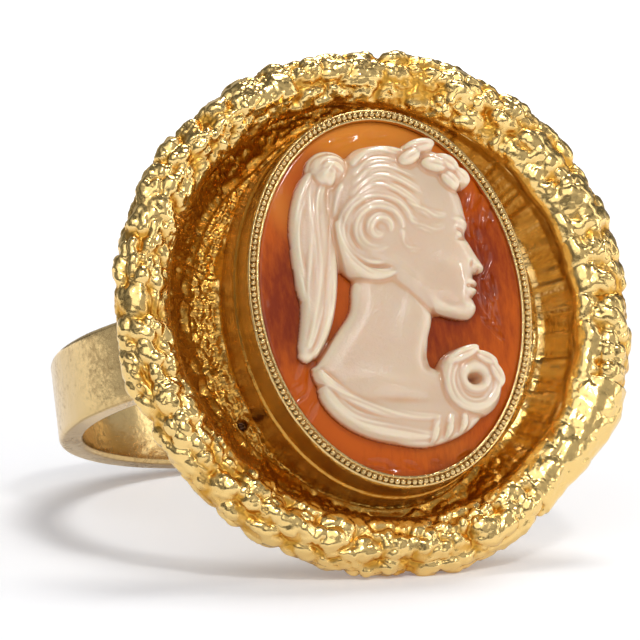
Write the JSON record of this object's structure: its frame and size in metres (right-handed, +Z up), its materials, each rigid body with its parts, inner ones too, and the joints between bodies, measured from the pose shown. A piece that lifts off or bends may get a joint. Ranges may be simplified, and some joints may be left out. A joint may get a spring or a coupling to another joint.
{
  "type": "cameo ring",
  "caption": "Gold finger ring: flat band, round bowl-shaped head with a nugget rim, and an oval milgrain bezel that holds a shell cameo of a lady's bust in profile.",
  "frame": {"origin": "middle of the ring's footprint, on the surface that it lies on", "axes": "+Z up, -Y towards the viewer who faces the head, +X to that viewer's right; the finger hole's axis leans from +Z towards +Y"},
  "size_m": [0.0214, 0.025, 0.0196],
  "materials": {
    "gold": "yellow gold: bright polished nuggets on the rim, satin band, darker unpolished channel",
    "orange_shell": "glossy translucent orange-brown shell with fine growth lines",
    "cream_shell": "glossy cream shell, carved, a little translucent"
  },
  "bodies": {
    "root": {"gold_mount": "gold", "cameo_ground": "orange_shell", "cameo_figure": "cream_shell"}
  },
  "joints": []
}
